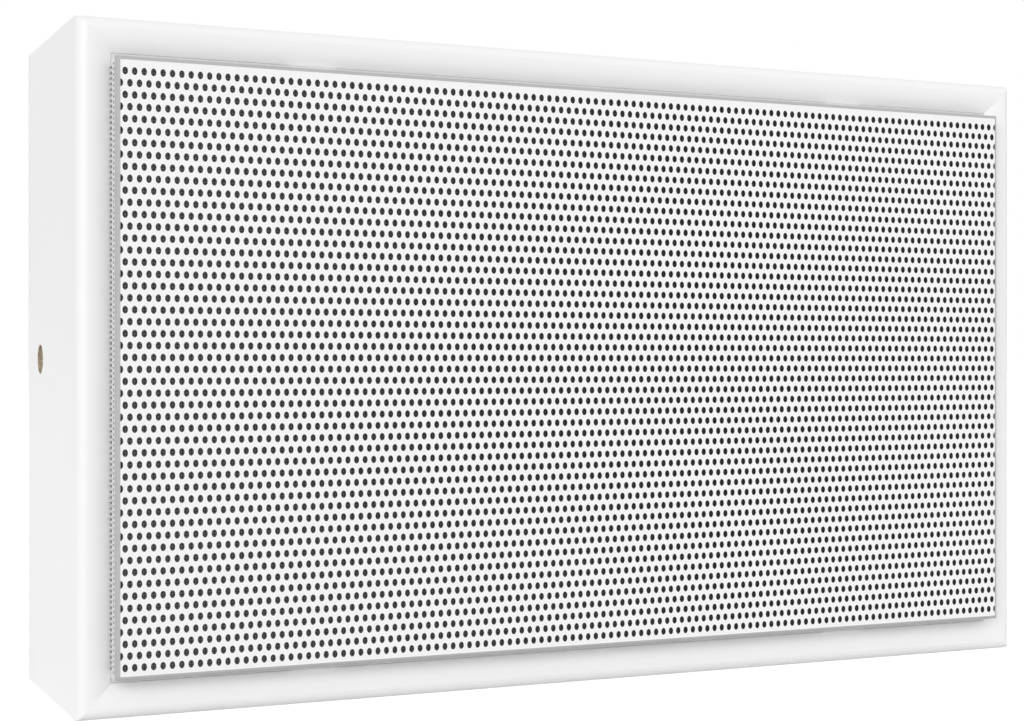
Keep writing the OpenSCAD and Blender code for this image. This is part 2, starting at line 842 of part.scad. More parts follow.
module core() {
  stand() color("dimgray") transformer_place() translate([-core_t / 2, 0, 0])
    rotate([90, 0, 90]) linear_extrude(core_t) difference() {
      translate([-core_w / 2, 0]) square([core_w, core_h]);
      for (y = [-1, 1]) translate([y * (limb_w + window_w / 2), core_h / 2])
        square([window_w, window_h], center = true);
    }
}

module bobbin() {
  tube_w = 2 * limb_w + 2 * bobbin_gap;
  tube_d = core_t + 2 * bobbin_gap;
  height = window_h - 2 * bobbin_gap;
  stand() color("ivory") transformer_place() translate([0, 0, limb_w + bobbin_gap]) difference() {
    union() {
      slab(tube_d + 2 * bobbin_t, tube_w + 2 * bobbin_t, height);
      slab(bobbin_d, bobbin_w, bobbin_t);
      translate([0, 0, height - bobbin_t]) slab(bobbin_d, bobbin_w, bobbin_t);
    }
    translate([0, 0, -cut]) slab(tube_d, tube_w, height + 2 * cut);
  }
}

module winding() {
  tube_w = 2 * limb_w + 2 * bobbin_gap + 2 * bobbin_t;
  tube_d = core_t + 2 * bobbin_gap + 2 * bobbin_t;
  height = window_h - 2 * bobbin_gap - 2 * bobbin_t;
  stand() color("firebrick") transformer_place()
    translate([0, 0, limb_w + bobbin_gap + bobbin_t]) difference() {
      linear_extrude(height)
        rounded(bobbin_d - 2 * winding_inset, bobbin_w - 2 * winding_inset, 1.5);
      translate([0, 0, -cut]) slab(tube_d, tube_w, height + 2 * cut);
    }
}

module bracket_screw_places() {
  for (y = [-1, 1]) translate([core_x, y * bracket_screw_y - core_drop, 0]) children();
}

module bracket() {
  outer = bracket_x;
  stand() color("silver") difference() {
    transformer_place() translate([-core_t / 2, 0, 0])
      rotate([90, 0, 90]) linear_extrude(core_t) difference() {
        union() {
          translate([-outer, 0]) square([2 * outer, core_h + bracket_t]);
          translate([-outer - foot_l, 0]) square([2 * (outer + foot_l), bracket_t]);
        }
        translate([-core_w / 2, -cut]) square([core_w, core_h + cut]);
      }
    bracket_screw_places() translate([0, 0, back_t - cut])
      cylinder(d = small_screw_d + 2 * slip, h = bracket_t + 2 * cut);
  }
}

module bracket_screws() {
  stand() color("silver") bracket_screw_places() translate([0, 0, back_t + bracket_t])
    pan_screw(small_screw_d, 2 * small_screw_d, small_screw_l);
}

module terminal_place() {
  translate([-terminal_x, cable_hole_y, 0]) children();
}

// The middle of each pole, counted from the lowest
module pole_places() {
  for (i = [0 : poles - 1]) translate([0, (i - (poles - 1) / 2) * pole_pitch, 0]) children();
}

module block_screw_places() {
  terminal_place() for (i = [0 : poles - 2])
    translate([0, (i - (poles - 2) / 2) * pole_pitch, 0]) children();
}

module terminal_block() {
  tower_w = pole_pitch - 3;
  stand() color("ivory") difference() {
    terminal_place() union() {
      translate([0, 0, back_t]) slab(terminal_l, terminal_w, terminal_base_h);
      pole_places() for (x = [-1, 1]) translate([x * clamp_x, 0, back_t])
        cylinder(d = tower_w, h = terminal_base_h + tower_h);
    }
    terminal_place() pole_places() {
      translate([-terminal_l / 2 - cut, 0, barrel_z])
        rotate([0, 90, 0]) cylinder(d = barrel_d + 2 * slip, h = terminal_l + 2 * cut);
      for (x = [-1, 1]) translate([x * clamp_x, 0, barrel_z])
        cylinder(d = clamp_screw_d + 1.2, h = terminal_top - barrel_z + cut);
    }
    block_screw_places() translate([0, 0, back_t - cut])
      cylinder(d = small_screw_d + 2 * slip, h = terminal_base_h + 2 * cut);
  }
}

module terminal_barrels() {
  stand() color("gold") terminal_place() pole_places() difference() {
    translate([-barrel_l / 2, 0, barrel_z]) rotate([0, 90, 0]) cylinder(d = barrel_d, h = barrel_l);
    translate([-barrel_l / 2 - cut, 0, barrel_z])
      rotate([0, 90, 0]) cylinder(d = barrel_hole_d, h = barrel_l + 2 * cut);
    for (x = [-1, 1]) translate([x * clamp_x, 0, barrel_z])
      cylinder(d = clamp_screw_d + 2 * slip, h = barrel_d);
  }
}

module clamp_screws() {
  stand() color("silver") terminal_place() pole_places() for (x = [-1, 1])
    translate([x * clamp_x, 0, barrel_z + barrel_hole_d / 2])
      cylinder(d = clamp_screw_d, h = clamp_screw_l);
}

module block_screws() {
  head_d = min(2 * small_screw_d, 0.6 * pole_pitch);
  stand() color("silver") block_screw_places() translate([0, 0, back_t])
    union() {
      translate([0, 0, small_screw_d - small_screw_l])
        cylinder(d = small_screw_d, h = terminal_base_h + small_screw_l - small_screw_d);
      translate([0, 0, terminal_base_h]) cylinder(d = head_d, h = 1.5);
    }
}

// Where a lead leaves the winding's side towards the driver
function winding_exit(y) = [
  core_x - bobbin_d / 2 + winding_inset - lead_d / 4 - slip, y - core_drop, back_t + core_h / 2
];

// The lead from the terminal block over the back panel, past the magnet, to the transformer
module input_lead() {
  start = [-terminal_x + terminal_l / 2 + slip, cable_hole_y, barrel_z];
  end = winding_exit(-2 * lead_d);
  low = back_t + lead_d;
  around = -magnet_d / 2 - 3 * lead_d;
  turn_x = magnet_d / 2 + lead_d;
  route = smooth([
    start, start + [2 * lead_d, 0, 0], [-(terminal_x + turn_x) / 2, around / 2, low],
    [-turn_x, around, low], [turn_x, around, low],
    end + [-4 * lead_d, -3 * lead_d, low - end.z], end - [2 * lead_d, 0, lead_d / 2], end
  ], 4);
  stand() color("dimgray") tube(route, lead_d, 8, [0, 0, 1]);
}

// The lead from the transformer up to the driver's tags
module output_lead() {
  start = winding_exit(2 * lead_d);
  end = [tag_x + tag_l - tag_hold + tag_t + lead_d / 2 + slip, tag_y, ledge_z - strip_t - tag_t / 2];
  route = smooth([
    start, start - [2 * lead_d, 0, 0], (start + end) / 2 - [0, 0, lead_d],
    end + [lead_d / 2, 0, -2 * lead_d], end
  ], 4);
  stand() color("firebrick") tube(route, lead_d, 8, [0, 1, 0]);
}

module fleece(x) {
  stand() color("whitesmoke") translate([x * (fleece_x + fleece_w / 2), 0, fleece_z])
    linear_extrude(baffle_rear - fleece_z) rounded(fleece_w, fleece_h, 4 * fleece_gap);
}

module fleece_left() {
  fleece(-1);
}

module fleece_right() {
  fleece(1);
}

top_wall();
bottom_wall();
left_wall();
right_wall();
baffle();
back_panel();
corner_block_1();
corner_block_2();
corner_block_3();
corner_block_4();
batten_top();
batten_bottom();
back_screws();
keyhole_plate_left();
keyhole_plate_right();
keyhole_screws();
grille();
grille_cloth();
grille_clips();
basket();
driver_gasket();
surround();
cone();
dust_cap();
voice_coil();
spider();
front_plate();
magnet();
pole_plate();
driver_screws();
terminal_strip();
strip_tags();
braids();
core();
bobbin();
winding();
bracket();
bracket_screws();
terminal_block();
terminal_barrels();
clamp_screws();
block_screws();
input_lead();
output_lead();
fleece_left();
fleece_right();
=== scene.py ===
"""Looks of a wall speaker: a white wall cabinet with a folded, perforated metal grille.

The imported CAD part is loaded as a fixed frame. Its nodes keep their shapes and get procedural
finishes. The CAD grille's few large holes stand in for the real one's fine perforation, so the
grille and the cloth behind it are made anew here and replace their nodes. All lengths are in
metres: the wall plane is y = 0, the front faces -Y and +Z is up.
"""

import json
import logging
import math
from collections.abc import Callable, Iterable, Sequence
from dataclasses import dataclass
from enum import Enum
from typing import Any

import bpy
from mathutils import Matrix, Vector


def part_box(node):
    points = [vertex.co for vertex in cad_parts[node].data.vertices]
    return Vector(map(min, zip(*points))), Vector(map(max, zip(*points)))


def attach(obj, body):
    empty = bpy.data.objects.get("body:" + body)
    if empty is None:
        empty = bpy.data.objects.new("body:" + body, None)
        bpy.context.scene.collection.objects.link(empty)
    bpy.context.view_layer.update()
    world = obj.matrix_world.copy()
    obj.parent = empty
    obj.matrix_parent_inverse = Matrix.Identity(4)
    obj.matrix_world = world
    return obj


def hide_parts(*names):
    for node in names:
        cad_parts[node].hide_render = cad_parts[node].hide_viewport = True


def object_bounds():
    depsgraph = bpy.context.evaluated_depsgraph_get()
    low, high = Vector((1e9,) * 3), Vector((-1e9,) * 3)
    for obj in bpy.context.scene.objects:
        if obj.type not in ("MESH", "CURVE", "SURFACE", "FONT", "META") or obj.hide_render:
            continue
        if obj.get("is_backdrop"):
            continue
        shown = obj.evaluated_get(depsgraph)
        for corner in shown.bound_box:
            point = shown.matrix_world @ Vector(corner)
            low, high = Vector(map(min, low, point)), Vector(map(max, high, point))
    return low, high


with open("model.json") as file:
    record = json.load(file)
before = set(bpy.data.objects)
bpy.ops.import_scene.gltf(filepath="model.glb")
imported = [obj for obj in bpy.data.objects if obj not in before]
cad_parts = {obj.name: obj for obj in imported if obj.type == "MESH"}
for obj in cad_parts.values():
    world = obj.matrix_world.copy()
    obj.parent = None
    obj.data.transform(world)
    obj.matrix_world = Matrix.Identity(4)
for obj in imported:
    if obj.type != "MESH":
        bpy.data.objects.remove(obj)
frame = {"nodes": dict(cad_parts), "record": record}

MM = 0.001
BODY = "root"
# nodes that are sprayed with the cabinet, and the slot whose finish they get
SPRAYED = {"grille_clips": "cabinet_white"}
log = logging.getLogger("wall_speaker")

Colour = tuple[float, float, float, float]
Point = tuple[float, float, float]
Flat = tuple[float, float]
Run = Sequence[tuple[float, int]]
Layer = Callable[[Flat], tuple[Point, Point]]


def srgb(red: int, green: int, blue: int) -> Colour:
    """Linear colour of the screen colour with these 8-bit parts."""

    def linear(part: int) -> float:
        value = part / 255
        return value / 12.92 if value <= 0.04045 else ((value + 0.055) / 1.055) ** 2.4

    return (linear(red), linear(green), linear(blue), 1.0)


def shade(colour: Colour, factor: float) -> Colour:
    """The same colour, darker or lighter by a factor."""
    return (colour[0] * factor, colour[1] * factor, colour[2] * factor, 1.0)


class Axis(Enum):
    """A direction of the frame, by its place in a point."""

    X = 0
    Y = 1
    Z = 2


def operation(kind: str, swapped: bool = False) -> Callable[..., "Wire"]:
    """A method of Wire that adds one Math node.

    Args:
        kind: the node's operation.
        swapped: whether the wire itself is the last value, not the first.

    Returns:
        The method, which takes the node's other values.
    """

    def method(self: "Wire", *others: "Wire | float") -> "Wire":
        """The result of the operation."""
        values = (*others, self) if swapped else (self, *others)
        return self.graph.node("ShaderNodeMath", {"operation": kind}, dict(enumerate(values)))

    return method


class Wire:
    """An output socket that adds Math nodes when Python arithmetic is done on it."""

    def __init__(self, graph: "Graph", socket: bpy.types.NodeSocket) -> None:
        """Keeps the graph and the socket that the value comes from."""
        self.graph = graph
        self.socket = socket

    __add__ = operation("ADD")
    __radd__ = operation("ADD", swapped=True)
    __sub__ = operation("SUBTRACT")
    __mul__ = operation("MULTIPLY")
    __rmul__ = operation("MULTIPLY", swapped=True)
    __truediv__ = operation("DIVIDE")
    __pow__ = operation("POWER")
    __abs__ = operation("ABSOLUTE")
    __lt__ = operation("LESS_THAN")
    __gt__ = operation("GREATER_THAN")
    larger = operation("MAXIMUM")
    smaller = operation("MINIMUM")
    sine = operation("SINE")
    root = operation("SQRT")


class Graph:
    """The nodes of one material or world."""

    def __init__(self, tree: bpy.types.NodeTree) -> None:
        """Empties the tree that is to be filled."""
        tree.nodes.clear()
        self.tree = tree

    def node(
        self,
        kind: str,
        settings: dict[str, Any] | None = None,
        values: dict[int | str, Any] | None = None,
        output: int | str = 0,
    ) -> Wire:
        """Adds one node.

        Args:
            kind: the node's type.
            settings: the node's own properties, or "stops" for a ramp's two stops.
            values: a number, colour or Wire for each input socket that is set.
            output: the output socket that is returned.

        Returns:
            The chosen output as a Wire.
        """
        made = self.tree.nodes.new(kind)
        for name, value in (settings or {}).items():
            if name == "stops":
                for element, stop in zip(made.color_ramp.elements, value):
                    element.position, element.color = stop
            else:
                setattr(made, name, value)
        for key, value in (values or {}).items():
            if isinstance(value, Wire):
                self.tree.links.new(value.socket, made.inputs[key])
            else:
                made.inputs[key].default_value = value
        return Wire(self, made.outputs[output])

    def place(self) -> Wire:
        """The point's own place in the frame, in metres."""
        return self.node("ShaderNodeTexCoord", output="Object")

    def axis(self, axis: Axis) -> Wire:
        """One coordinate of the point's place."""
        return self.node("ShaderNodeSeparateXYZ", values={0: self.place()}, output=axis.value)

    def noise(self, scale: float, detail: float = 2.0, stretch: Point | None = None) -> Wire:
        """Soft noise from 0 to 1, with so many features to the metre, times a stretch."""
        spot = self.place()
        if stretch:
            settings = {"operation": "MULTIPLY"}
            spot = self.node("ShaderNodeVectorMath", settings, {0: spot, 1: stretch})
        values = {"Vector": spot, "Scale": scale, "Detail": detail}
        return self.node("ShaderNodeTexNoise", {"noise_dimensions": "3D"}, values)

    def cells(self, scale: float) -> Wire:
        """Distance to the nearest of many scattered points, so many to the metre."""
        return self.node("ShaderNodeTexVoronoi", values={"Vector": self.place(), "Scale": scale})

    def mix(self, factor: Wire, low: Colour | Wire, high: Colour | Wire) -> Wire:
        """A colour between two, by a factor from 0 to 1."""
        return self.node("ShaderNodeMix", {"data_type": "RGBA"}, {0: factor, 6: low, 7: high}, 2)

    def ramp(self, factor: Wire, low: tuple[float, Colour], high: tuple[float, Colour]) -> Wire:
        """The colour at a factor between two stops of (position, colour)."""
        return self.node("ShaderNodeValToRGB", {"stops": (low, high)}, {0: factor})

    def bump(self, height: Wire, depth: float) -> Wire:
        """A normal that shows a height from 0 to 1 as relief of a depth in metres."""
        return self.node(
            "ShaderNodeBump", values={"Height": height, "Distance": depth, "Strength": 1.0}
        )

    def surface(self, colour: Wire, rough: Wire, normal: Wire, metallic: float = 0.0) -> None:
        """Ends a material in one Principled shader with these values."""
        values = {"Base Color": colour, "Metallic": metallic, "Roughness": rough, "Normal": normal}
        self.end("ShaderNodeOutputMaterial", self.node("ShaderNodeBsdfPrincipled", values=values))

    def end(self, kind: str, shader: Wire) -> None:
        """Links a shader to the surface of an output node."""
        made = self.tree.nodes.new(kind)
        self.tree.links.new(shader.socket, made.inputs["Surface"])


@dataclass(frozen=True)
class Finish:
    """A surface finish that makes one material.

    Attributes:
        name: the material's name.
    """

    name: str

    def material(self) -> bpy.types.Material:
        """The Blender material of this finish."""
        made = bpy.data.materials.new(self.name)
        made.use_nodes = True
        self.lay(Graph(made.node_tree))
        return made

    def lay(self, graph: Graph) -> None:
        """Builds the finish's nodes in an empty graph."""
        raise NotImplementedError


@dataclass(frozen=True)
class Board(Finish):
    """Raw fibreboard, as on sawn edges and inner faces.

    Attributes:
        pale: colour of the light fibres.
        dark: colour of the dark fibres.
        fibres: fibre features to the metre.
        stops: where the dark fibres end and the light ones begin, from 0 to 1.
        broad_share: how much of the mottling is broad.
        depth: height of the raised fibres.
        matt: roughness where the board shows beside lacquer.
    """

    pale: Colour
    dark: Colour
    fibres: float = 1500.0
    stops: Flat = (0.36, 0.64)
    broad_share: float = 0.14
    depth: float = 0.15 * MM
    matt: float = 0.88

    def colour(self, graph: Graph) -> Wire:
        """The board's mottled colour."""
        fine = graph.noise(self.fibres, 4.0)
        broad = graph.noise(60.0, 3.0)
        grain = (1.0 - self.broad_share) * fine + self.broad_share * broad
        return graph.ramp(grain, (self.stops[0], self.dark), (self.stops[1], self.pale))

    def relief(self, graph: Graph) -> Wire:
        """Height of the raised fibres, from 0 to 1."""
        return graph.noise(self.fibres, 5.0, (1.0, 2.4, 0.8))

    def lay(self, graph: Graph) -> None:
        """Builds the raw board."""
        graph.surface(
            colour=self.colour(graph),
            rough=0.82 + 0.14 * graph.noise(300.0),
            normal=graph.bump(self.relief(graph), self.depth),
        )


@dataclass(frozen=True)
class BareParts:
    """Where the cabinet's board shows bare: inside, on the rear edges and in the cable hole.

    Attributes:
        half_w: half the cabinet's width.
        half_h: half the cabinet's height.
        wall: thickness of the walls.
        rebate: width of the rebate for the back panel.
        rebate_y: how far the rebate reaches from the wall plane.
        face_y: plane of the baffle's face.
        hole: plane and height of the cable hole's middle, and its radius.
        skin: allowance at the planes, so that faces on them fall clearly on one side.
    """

    half_w: float
    half_h: float
    wall: float = 9.5 * MM
    rebate: float = 4.5 * MM
    rebate_y: float = -8.25 * MM
    face_y: float = -65.0 * MM
    hole: Point = (-20.0 * MM, 2.5 * MM, 4.25 * MM)
    skin: float = 0.12 * MM

    def mask(self, graph: Graph) -> Wire:
        """1 where the board is bare, and 0 where it is lacquered."""
        x, y, z = (graph.axis(axis) for axis in Axis)
        side, rise = abs(x) - self.half_w, abs(z) - self.half_h
        within = side.larger(rise)
        inside = (within < self.skin - self.wall) * (y > self.face_y + self.skin)
        in_rebate = (within < self.skin - self.rebate) * (y > self.rebate_y)
        rear = y > -self.skin
        hole_y, hole_z, hole_r = self.hole
        off_axis = ((y - hole_y) ** 2.0 + (z - hole_z) ** 2.0).root()
        in_hole = (off_axis < hole_r + self.skin) * (x < self.wall - self.half_w)
        return inside.larger(in_rebate).larger(rear).larger(in_hole)


@dataclass(frozen=True)
class Lacquer(Finish):
    """Satin lacquer on board or steel, with the bare board where none was sprayed.

    Attributes:
        white: colour of the lacquer.
        gloss: middle roughness of the lacquer.
        peel: features of its orange peel to the metre.
        depth: depth of the orange peel.
        board: the board under it, or None on steel.
        bare: where the board shows, or None on steel.
    """

    white: Colour
    gloss: float
    peel: float
    depth: float
    board: Board | None = None
    bare: BareParts | None = None

    def lay(self, graph: Graph) -> None:
        """Builds the lacquer, and the bare board beside it."""
        cloudy = graph.noise(25.0, 3.0)
        colour = graph.mix(cloudy, shade(self.white, 0.985), self.white)
        rough = self.gloss - 0.04 + 0.08 * graph.noise(70.0, 4.0)
        height = graph.noise(self.peel, 3.0)
        normal = graph.bump(height, self.depth)
        if self.board and self.bare:
            mask = self.bare.mask(graph)
            colour = graph.mix(mask, colour, self.board.colour(graph))
            rough += mask * (self.board.matt - self.gloss)
            relief = height * self.depth + mask * self.board.relief(graph) * self.board.depth
            normal = graph.bump(relief, 1.0)
        graph.surface(colour, rough, normal)


@dataclass(frozen=True)
class ShadedFoldCoat(Lacquer):
    """Powder coat with painted shade: grey on the grille's folds, and a lighter painted grey on
    the flanges behind them.

    Attributes:
        front_y: plane of the grille's front.
        thin: depth behind the front of the grey band of painted shade on the folds.
        soft: depth over which the folds' painted shade turns into the lighter painted shade
            behind.
        painted_shade: brightness of the folds' painted shade as a share of the white's.
    """

    front_y: float = 0.0
    thin: float = 2.2 * MM
    soft: float = 0.5 * MM
    painted_shade: float = 0.47

    def lay(self, graph: Graph) -> None:
        """Builds the coat from the folds' grey painted shade and the lighter painted shade behind
        them.
        """
        # painted shade: the folds are grey, and the pierced flanges behind them are 0.86 of the
        # white
        behind = (graph.axis(Axis.Y) - (self.front_y + self.thin)) / self.soft
        full = behind.larger(0.0).smaller(1.0)
        cloudy = 0.125 * graph.noise(140.0, 3.0)
        thin = graph.mix(cloudy, shade(self.white, self.painted_shade), self.white)
        graph.surface(
            colour=graph.mix(full, thin, shade(self.white, 0.86)),
            rough=self.gloss + 0.1 * graph.noise(400.0, 3.0),
            normal=graph.bump(graph.noise(self.peel, 3.0), self.depth),
        )


@dataclass(frozen=True)
class Tinted(Finish):
    """A finish with one main colour.

    Attributes:
        tint: the main colour.
    """

    tint: Colour


@dataclass(frozen=True)
class Metal(Tinted):
    """Bare or plated metal.

    Attributes:
        rough: middle roughness.
        grain: features of the surface to the metre.
        draw: stretch of the grain along each axis, for drawn or rolled metal.
        patches: how much the plating's colour changes, from 0 to 1.
    """

    rough: float
    grain: float = 600.0
    draw: Point = (1.0, 1.0, 1.0)
    patches: float = 0.25

    def lay(self, graph: Graph) -> None:
        """Builds the metal."""
        fine = graph.noise(self.grain, 4.0, self.draw)
        cloud = graph.noise(self.grain / 8, 2.0)
        dull = shade(self.tint, 1.0 - self.patches)
        graph.surface(
            colour=graph.mix(0.5 * fine + 0.5 * cloud, dull, self.tint),
            metallic=1.0,
            rough=self.rough - 0.08 + 0.16 * fine,
            normal=graph.bump(fine, 0.02 * MM),
        )


@dataclass(frozen=True)
class Moulding(Tinted):
    """Moulded plastic, rubber, ceramic or paint with an even grain.

    Attributes:
        rough: middle roughness.
        grain: features of the grain to the metre.
        depth: depth of the grain.
        mottle: how much darker the darkest parts are, from 0 to 1.
    """

    rough: float
    grain: float = 1200.0
    depth: float = 0.03 * MM
    mottle: float = 0.12

    def lay(self, graph: Graph) -> None:
        """Builds the moulding."""
        fine = graph.noise(self.grain, 3.0)
        cloud = graph.noise(90.0, 3.0)
        graph.surface(
            colour=graph.mix(cloud, shade(self.tint, 1.0 - self.mottle), self.tint),
            rough=self.rough - 0.06 + 0.12 * fine,
            normal=graph.bump(fine, self.depth),
        )


@dataclass(frozen=True)
class Foam(Tinted):
    """Open-celled foam.

    Attributes:
        pore: pores to the metre.
        shadow: brightness of the pores as a share of the cell walls'.
        depth: depth of the pores.
    """

    pore: float = 1400.0
    shadow: float = 0.4
    depth: float = 0.3 * MM

    def lay(self, graph: Graph) -> None:
        """Builds the foam."""
        pores = graph.cells(self.pore)
        graph.surface(
            colour=graph.mix(pores, shade(self.tint, self.shadow), self.tint),
            rough=0.9 + 0.08 * pores,
            normal=graph.bump(pores, self.depth),
        )


@dataclass(frozen=True)
class Weave(Tinted):
    """Plain-woven cloth seen along the speaker's axis.

    Attributes:
        gap: colour between the yarns.
        thread: distance from yarn to yarn.
        rough: roughness of the cloth.
        painted_light_tint: lighter yarn colour at the far -X side, painted light on the cloth seen
            through the holes.
        painted_light_span: the places along X where the painted light begins and is full.
    """

    gap: Colour
    thread: float
    rough: float = 0.9
    painted_light_tint: Colour | None = None
    painted_light_span: Flat = (40.0 * MM, -150.0 * MM)

    def lay(self, graph: Graph) -> None:
        """Builds the weave from two crossing waves, one over the other in turn."""
        turns = math.pi / self.thread
        warp = (graph.axis(Axis.X) * turns).sine()
        weft = (graph.axis(Axis.Z) * turns).sine()
        over = abs(warp * weft)
        fuzz = graph.noise(2.0 / self.thread, 3.0)
        yarn = 0.75 * over + 0.25 * fuzz
        tint: Colour | Wire = self.tint
        # painted light: the yarn turns lighter towards the far -X side
        if self.painted_light_tint:
            start, end = self.painted_light_span
            share = (graph.axis(Axis.X) - start) / (end - start)
            tint = graph.mix(share.larger(0.0).smaller(1.0), self.tint, self.painted_light_tint)
        graph.surface(
            colour=graph.mix(yarn, self.gap, tint),
            rough=self.rough - 0.05 + 0.1 * fuzz,
            normal=graph.bump(yarn, 0.4 * self.thread),
        )


@dataclass(frozen=True)
class Paper(Finish):
    """Pressed paper pulp with short fibres.

    Attributes:
        pale: colour of the light fibres.
        dark: colour of the dark fibres.
    """

    pale: Colour
    dark: Colour

    def lay(self, graph: Graph) -> None:
        """Builds the paper from two layers of fibres that cross."""
        across = graph.noise(500.0, 5.0, (3.0, 1.0, 0.6))
        upward = graph.noise(500.0, 5.0, (0.6, 1.0, 3.0))
        fibres = across.larger(upward)
        graph.surface(
            colour=graph.ramp(fibres, (0.4, self.dark), (0.75, self.pale)),
            rough=0.8 + 0.12 * fibres,
            normal=graph.bump(fibres, 0.08 * MM),
        )


@dataclass(frozen=True)
class Stack(Tinted):
    """Turns of wire or thin sheets side by side.

    Attributes:
        gap: colour between them.
        axis: the direction that the layers follow each other in.
        pitch: distance from layer to layer.
        rough: roughness of the ridges.
        metallic: 1 for metal, 0 for tape or enamel.
    """

    gap: Colour
    axis: Axis
    pitch: float
    rough: float
    metallic: float

    def lay(self, graph: Graph) -> None:
        """Builds the layers as ridges with dark joints."""
        ridge = abs((graph.axis(self.axis) * (math.pi / self.pitch)).sine())
        worn = graph.noise(400.0, 3.0)
        graph.surface(
            colour=graph.mix(ridge ** 0.5, self.gap, self.tint),
            metallic=self.metallic,
            rough=self.rough + 0.15 * worn,
            normal=graph.bump(0.8 * ridge + 0.2 * worn, 0.25 * self.pitch),
        )


@dataclass(frozen=True)
class Wadding(Tinted):
    """Loose polyester fleece."""

    def lay(self, graph: Graph) -> None:
        """Builds the fleece from tufts and the fibres on them."""
        tufts = graph.noise(90.0, 4.0)
        fibres = graph.noise(1500.0, 5.0, (0.5, 1.0, 1.8))
        fluff = 0.7 * tufts + 0.3 * fibres
        graph.surface(
            colour=graph.mix(fluff, shade(self.tint, 0.72), self.tint),
            rough=0.92 + 0.06 * fibres,
            normal=graph.bump(fluff, 2.0 * MM),
        )


def bridge(outer: Run, inner: Run) -> list[tuple[int, int, int]]:
    """Triangles between two runs of points that turn the same way round a middle.

    Args:
        outer: (angle, index) of each point of the outer run, by rising angle.
        inner: the same for the inner run.

    Returns:
        Index triples, each anticlockwise.
    """
    found: list[tuple[int, int, int]] = []
    i = j = 0
    while i < len(outer) - 1 or j < len(inner) - 1:
        step_out = j == len(inner) - 1 or (
            i < len(outer) - 1 and outer[i + 1][0] <= inner[j + 1][0]
        )
        if step_out:
            found.append((outer[i][1], outer[i + 1][1], inner[j][1]))
            i += 1
        else:
            found.append((outer[i][1], inner[j + 1][1], inner[j][1]))
            j += 1
    return found


def belts(rings: Sequence[Sequence[int]]) -> list[tuple[int, ...]]:
    """Quads between each closed ring of point indices and the next ring."""
    return [
        (below[k - 1], below[k], above[k], above[k - 1])
        for below, above in zip(rings, rings[1:])
        for k in range(len(below))
    ]


class Sheet:
    """Collects the faces of a metal sheet's outer side, then gives it its thickness."""

    # points that are the same when rounded to this share of a metre are one point
    GRID = 1e7
    # angle, place across and place up of the points on the top and bottom of a pierced cell
    RIM = (
        *((-135, -1, -1), (-90, 0, -1), (-45, 1, -1), (45, 1, 1)),
        *((90, 0, 1), (135, -1, 1), (225, -1, -1), (270, 0, -1)),
    )

    def __init__(self, lay: Layer | None = None) -> None:
        """Starts an empty sheet.

        Args:
            lay: turns a flat point into the points on the outer and inner side.
        """
        self.lay = lay
        self.outer: list[Point] = []
        self.inner: list[Point] = []
        self.faces: list[tuple[int, ...]] = []
        self._known: dict[tuple[int, ...], int] = {}

    def point(self, flat: Flat, behind: Flat | None = None) -> int:
        """Index of the sheet's point at a flat place, shared by the faces that meet there.

        Args:
            flat: the flat place.
            behind: the flat place on the inner side, where it isn't the same.

        Returns:
            The point's index.
        """
        outer, inner = self.lay(flat)
        if behind:
            inner = self.lay(behind)[1]
        key = tuple(round(part * self.GRID) for part in outer)
        if key not in self._known:
            self._known[key] = len(self.outer)
            self.outer.append(outer)
            self.inner.append(inner)
        return self._known[key]

    def plain(self, columns: Sequence[float], low: float, high: float) -> None:
        """Adds a row of plain quads between two heights, one for each pair of columns."""
        for left, right in zip(columns, columns[1:]):
            corners = ((left, low), (right, low), (right, high), (left, high))
            self.faces.append(tuple(self.point(corner) for corner in corners))

    def pierced(
        self, middle: Flat, half: Flat, hole: Flat, sides: int, flare: float, part: int = 0
    ) -> None:
        """Adds one cell with an oval hole that the punch has left wider on the inner side.

        Args:
            middle: flat place of the hole's middle.
            half: half the cell's width and height.
            hole: half the hole's width and height.
            sides: number of the hole's sides, which is even.
            flare: how much further the hole reaches on the inner side.
            part: 0 for a whole cell, 1 for its right half, -1 for its left half.
        """
        start, end = {0: (-180, 180), 1: (-90, 90), -1: (90, 270)}[part]
        rim = [
            (angle, self.point((middle[0] + across * half[0], middle[1] + up * half[1])))
            for angle, across, up in self.RIM
            if start <= angle <= end
        ]
        ring = []
        steps = sides // 2 if part else sides
        for step in range(steps + 1):
            angle = start + (end - start) * step / steps
            turn = math.radians(angle)
            edge, behind = (
                (
                    middle[0] + (hole[0] + wider) * math.cos(turn),
                    middle[1] + (hole[1] + wider) * math.sin(turn),
                )
                for wider in (0.0, flare)
            )
            ring.append((angle, self.point(edge, behind)))
        if not part:
            rim.append((rim[0][0] + 360, rim[0][1]))
            first = next(k for k, (angle, _) in enumerate(ring) if angle >= rim[0][0])
            turned = ring[first:-1] + [(angle + 360, at) for angle, at in ring[:first]]
            ring = turned + [(turned[0][0] + 360, turned[0][1])]
        self.faces.extend(bridge(rim, ring))

    def solid(self, name: str) -> bpy.types.Object:
        """The closed piece: both sides of the sheet, with walls along every open edge."""
        count = len(self.outer)
        edges = {(a, b) for face in self.faces for a, b in zip(face, (*face[1:], face[0]))}
        back = [tuple(at + count for at in reversed(face)) for face in self.faces]
        walls = [(b, a, a + count, b + count) for a, b in sorted(edges) if (b, a) not in edges]
        return piece(name, self.outer + self.inner, self.faces + back + walls)


def piece(name: str, points: Iterable[Point], faces: Iterable[Sequence[int]]) -> bpy.types.Object:
    """A mesh object of these points and faces, linked to the scene.

    Args:
        name: the object's name.
        points: its points in the frame.
        faces: point indices of each face, anticlockwise from outside.

    Returns:
        The new object.
    """
    mesh = bpy.data.meshes.new(name)
    mesh.from_pydata(list(points), [], list(faces))
    mesh.update()
    made = bpy.data.objects.new(name, mesh)
    bpy.context.scene.collection.objects.link(made)
    return made


